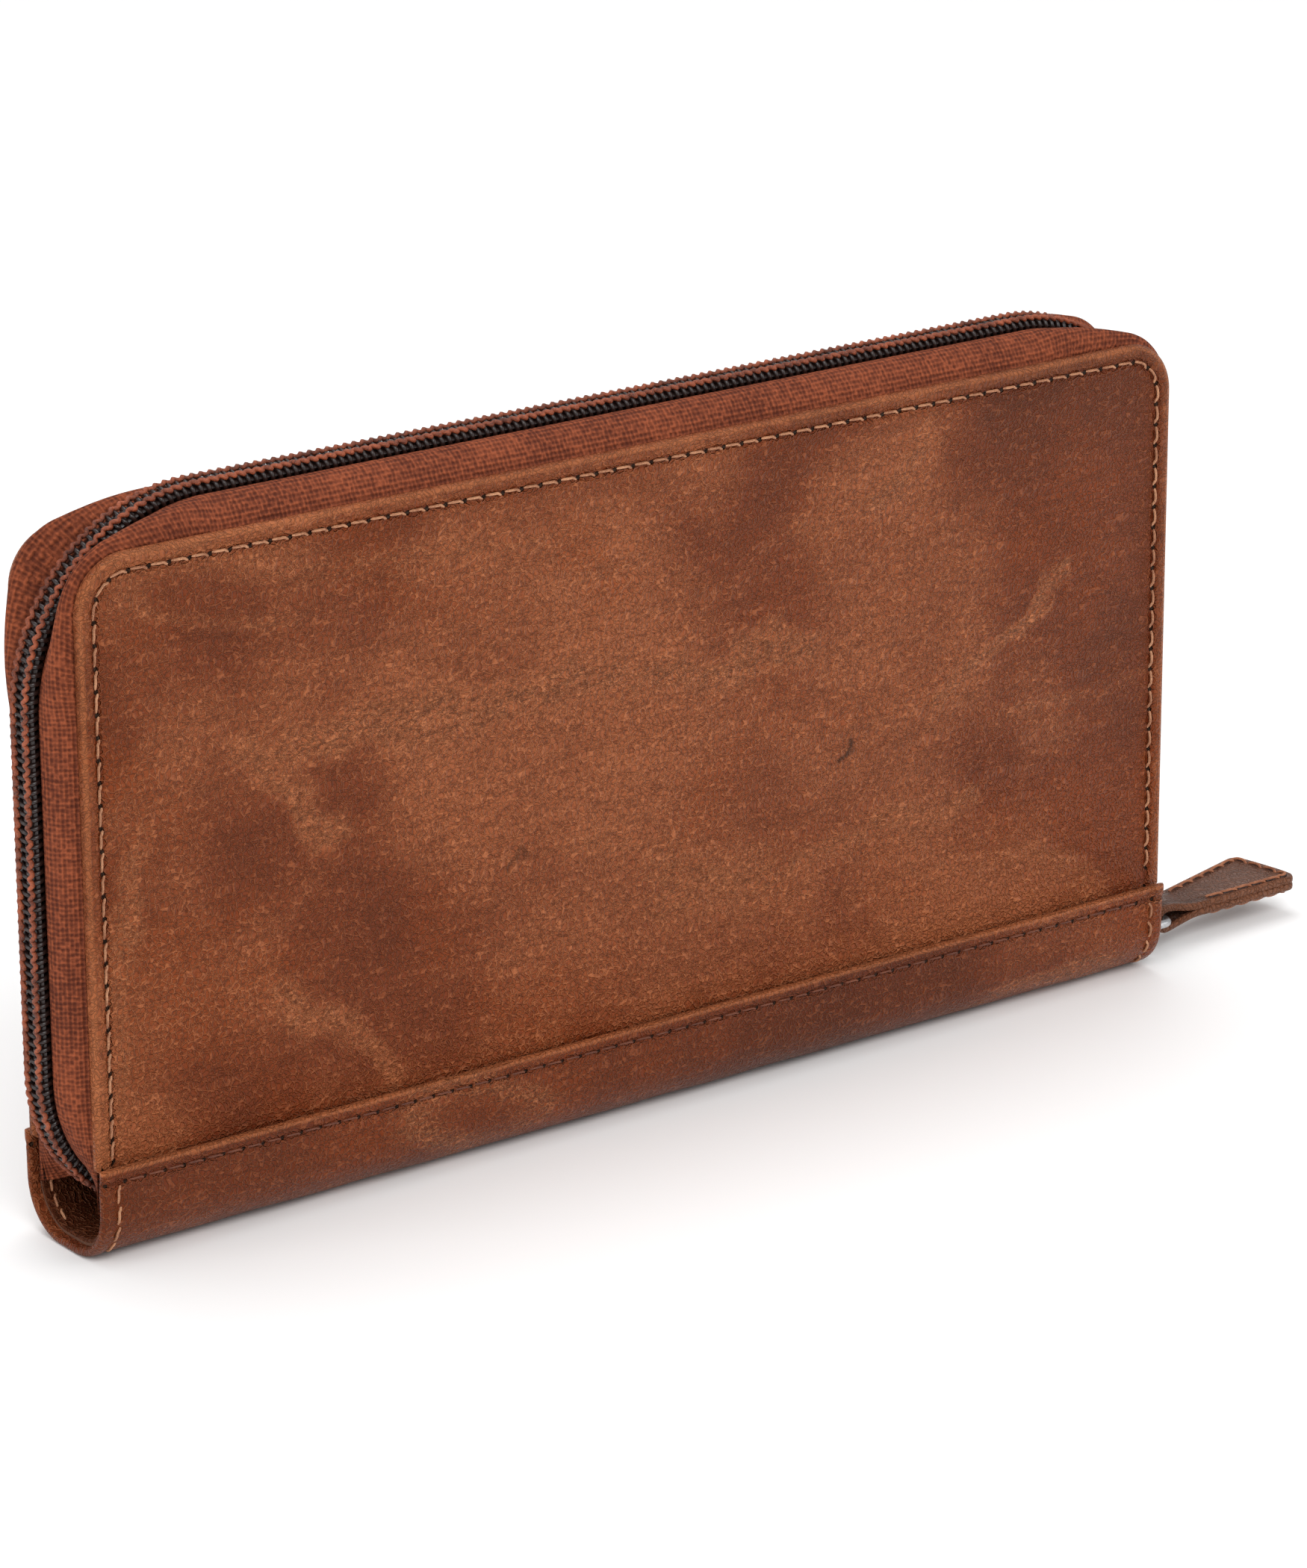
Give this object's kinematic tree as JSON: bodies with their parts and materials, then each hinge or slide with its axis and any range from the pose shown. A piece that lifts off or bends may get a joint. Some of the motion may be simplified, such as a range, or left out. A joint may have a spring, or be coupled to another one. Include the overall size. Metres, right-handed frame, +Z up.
{
  "type": "zip-around wallet",
  "caption": "Long zip-around leather wallet standing on its spine, zip closed, with a folded leather pull tab and a coin purse, card slots and note compartments inside.",
  "frame": {"origin": "middle of the flat underside of the spine, where the wallet stands", "axes": "+X along the wallet towards the pull tab, +Y through its thickness towards the back cover, +Z up to the zip"},
  "size_m": [0.2289, 0.0206, 0.1052],
  "materials": {
    "cover_leather": "oiled pull-up leather, satin",
    "spine_leather": "oiled pull-up leather, satin",
    "tab_leather": "dark oiled leather, satin",
    "inner_leather": "smooth, matte",
    "lining_cloth": "fine twill",
    "stiffener_board": "bonded fibre board",
    "cover_thread": "waxed thread",
    "zip_tape_cloth": "woven twill tape",
    "zip_coil_nylon": "glossy nylon coil",
    "zip_thread": "chain-stitched thread",
    "zip_metal": "plated, satin",
    "loop_metal": "polished"
  },
  "bodies": {
    "spine": {"spine_strip": "spine_leather", "spine_stiffener": "stiffener_board", "spine_lining": "inner_leather", "spine_stitching_front": "cover_thread", "spine_stitching_back": "cover_thread", "purse_front_wall": "lining_cloth", "purse_back_wall": "lining_cloth", "purse_zip_coil_front": "zip_coil_nylon", "purse_zip_coil_back": "zip_coil_nylon", "purse_zip_tape_front": "zip_tape_cloth", "purse_zip_tape_back": "zip_tape_cloth", "purse_zip_stop": "zip_metal", "gusset_left_front": "lining_cloth", "gusset_left_back": "lining_cloth", "gusset_right_front": "lining_cloth", "gusset_right_back": "lining_cloth", "zip_bottom_stop": "zip_metal", "zip_top_stop_front": "zip_metal", "zip_top_stop_back": "zip_metal"},
    "front_cover": {"front_panel": "cover_leather", "front_board": "stiffener_board", "front_lining": "lining_cloth", "front_stitching": "cover_thread", "front_pocket_backing": "inner_leather", "front_card_slot_1": "inner_leather", "front_card_slot_2": "inner_leather", "front_card_slot_3": "inner_leather", "front_zip_coil": "zip_coil_nylon", "front_zip_stitching": "zip_thread", "front_zip_tape": "zip_tape_cloth"},
    "back_cover": {"back_panel": "cover_leather", "back_board": "stiffener_board", "back_lining": "lining_cloth", "back_stitching": "cover_thread", "back_pocket_backing": "inner_leather", "back_card_slot_1": "inner_leather", "back_card_slot_2": "inner_leather", "back_card_slot_3": "inner_leather", "back_zip_coil": "zip_coil_nylon", "back_zip_stitching": "zip_thread", "back_zip_tape": "zip_tape_cloth"},
    "zip_slider": {"zip_slider_body": "zip_metal"},
    "zip_puller": {"zip_puller_loop": "loop_metal"},
    "pull_tab": {"pull_tab": "tab_leather", "pull_tab_stitching": "cover_thread"},
    "purse_slider": {"purse_zip_slider": "zip_metal"},
    "purse_puller": {"purse_zip_puller": "zip_metal"}
  },
  "joints": [
    {"name": "front_cover_hinge", "type": "hinge", "parent": "spine", "child": "front_cover", "pos_m": [0, -0.00723, 0.00277], "axis": [1, 0, 0], "range_deg": [0, 25], "deforming": ["spine_strip", "spine_stiffener", "spine_lining", "spine_stitching_front", "gusset_left_front", "gusset_right_front", "front_zip_coil", "front_zip_stitching", "front_zip_tape"]},
    {"name": "back_cover_hinge", "type": "hinge", "parent": "spine", "child": "back_cover", "pos_m": [0, 0.00723, 0.00277], "axis": [-1, 0, 0], "range_deg": [0, 25], "deforming": ["spine_strip", "spine_stiffener", "spine_lining", "spine_stitching_back", "gusset_left_back", "gusset_right_back", "back_zip_coil", "back_zip_stitching", "back_zip_tape"]},
    {"name": "zip_slide", "type": "slide", "parent": "spine", "child": "zip_slider", "axis": [0.0558, 0, 0.9984], "range_m": [0, 0.063], "deforming": ["front_zip_coil", "front_zip_stitching", "front_zip_tape", "back_zip_coil", "back_zip_stitching", "back_zip_tape"]},
    {"name": "puller_hinge", "type": "hinge", "parent": "zip_slider", "child": "zip_puller", "pos_m": [0.09717, 0, 0.00503], "axis": [0.0436, -0.999, 0], "range_deg": [0, 20]},
    {"name": "tab_hinge", "type": "hinge", "parent": "zip_puller", "child": "pull_tab", "pos_m": [0.10167, 0.0002, 0.00503], "axis": [0.0436, -0.999, 0], "range_deg": [0, 70]},
    {"name": "purse_zip_slide", "type": "slide", "parent": "spine", "child": "purse_slider", "axis": [1, 0, 0], "range_m": [0, 0.144], "deforming": ["purse_zip_coil_front", "purse_zip_tape_front", "purse_zip_coil_back", "purse_zip_tape_back"]},
    {"name": "purse_puller_hinge", "type": "hinge", "parent": "purse_slider", "child": "purse_puller", "pos_m": [-0.07305, 0, 0.08375], "axis": [0, -1, 0], "range_deg": [0, 120]}
  ]
}
